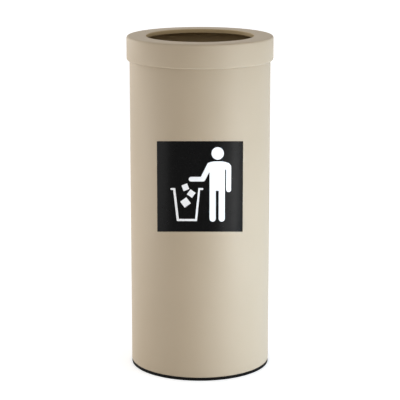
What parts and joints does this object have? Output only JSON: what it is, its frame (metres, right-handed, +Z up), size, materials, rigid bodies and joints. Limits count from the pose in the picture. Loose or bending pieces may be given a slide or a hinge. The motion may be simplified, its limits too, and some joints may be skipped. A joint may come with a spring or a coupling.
{
  "type": "waste bin",
  "caption": "Round open-top steel waste bin with a lift-off ring lid, black base ring, front sign and a galvanised inner bucket with a bail.",
  "frame": {"origin": "on the floor, at the centre of the base ring", "axes": "+Z up along the bin's axis, -Y towards the sign, +X to the right of someone facing the sign"},
  "size_m": [0.3258, 0.3258, 0.75],
  "materials": {
    "bin_paint": "satin sand-beige powder coat",
    "base_rubber": "matt black",
    "sign_film": "gloss black film with a white litter figure",
    "zinc_sheet": "hot-dip galvanised with spangle",
    "wire_steel": "zinc-plated drawn wire",
    "grip_plastic": "fine-grained black"
  },
  "bodies": {
    "bin_body": {"body_shell": "bin_paint", "base_pan": "bin_paint", "base_ring": "base_rubber", "sign_label": "sign_film"},
    "bucket": {"bucket_wall": "zinc_sheet", "bucket_bottom": "zinc_sheet", "rim_wire": "wire_steel", "bail_ear_left": "zinc_sheet", "bail_ear_right": "zinc_sheet", "ear_rivets": "wire_steel"},
    "bail": {"bail_wire": "wire_steel", "bail_grip": "grip_plastic"},
    "lid": {"lid_shell": "bin_paint"}
  },
  "joints": [
    {"name": "bucket_lift", "type": "slide", "parent": "bin_body", "child": "bucket", "axis": [0, 0, 1], "range_m": [0, 0.75]},
    {"name": "lid_lift", "type": "slide", "parent": "bucket", "child": "lid", "axis": [0, 0, 1], "range_m": [0, 0.15]},
    {"name": "bail_swing", "type": "hinge", "parent": "bucket", "child": "bail", "pos_m": [0, 0, 0.63265], "axis": [1, 0, 0], "range_deg": [0, 180]}
  ]
}
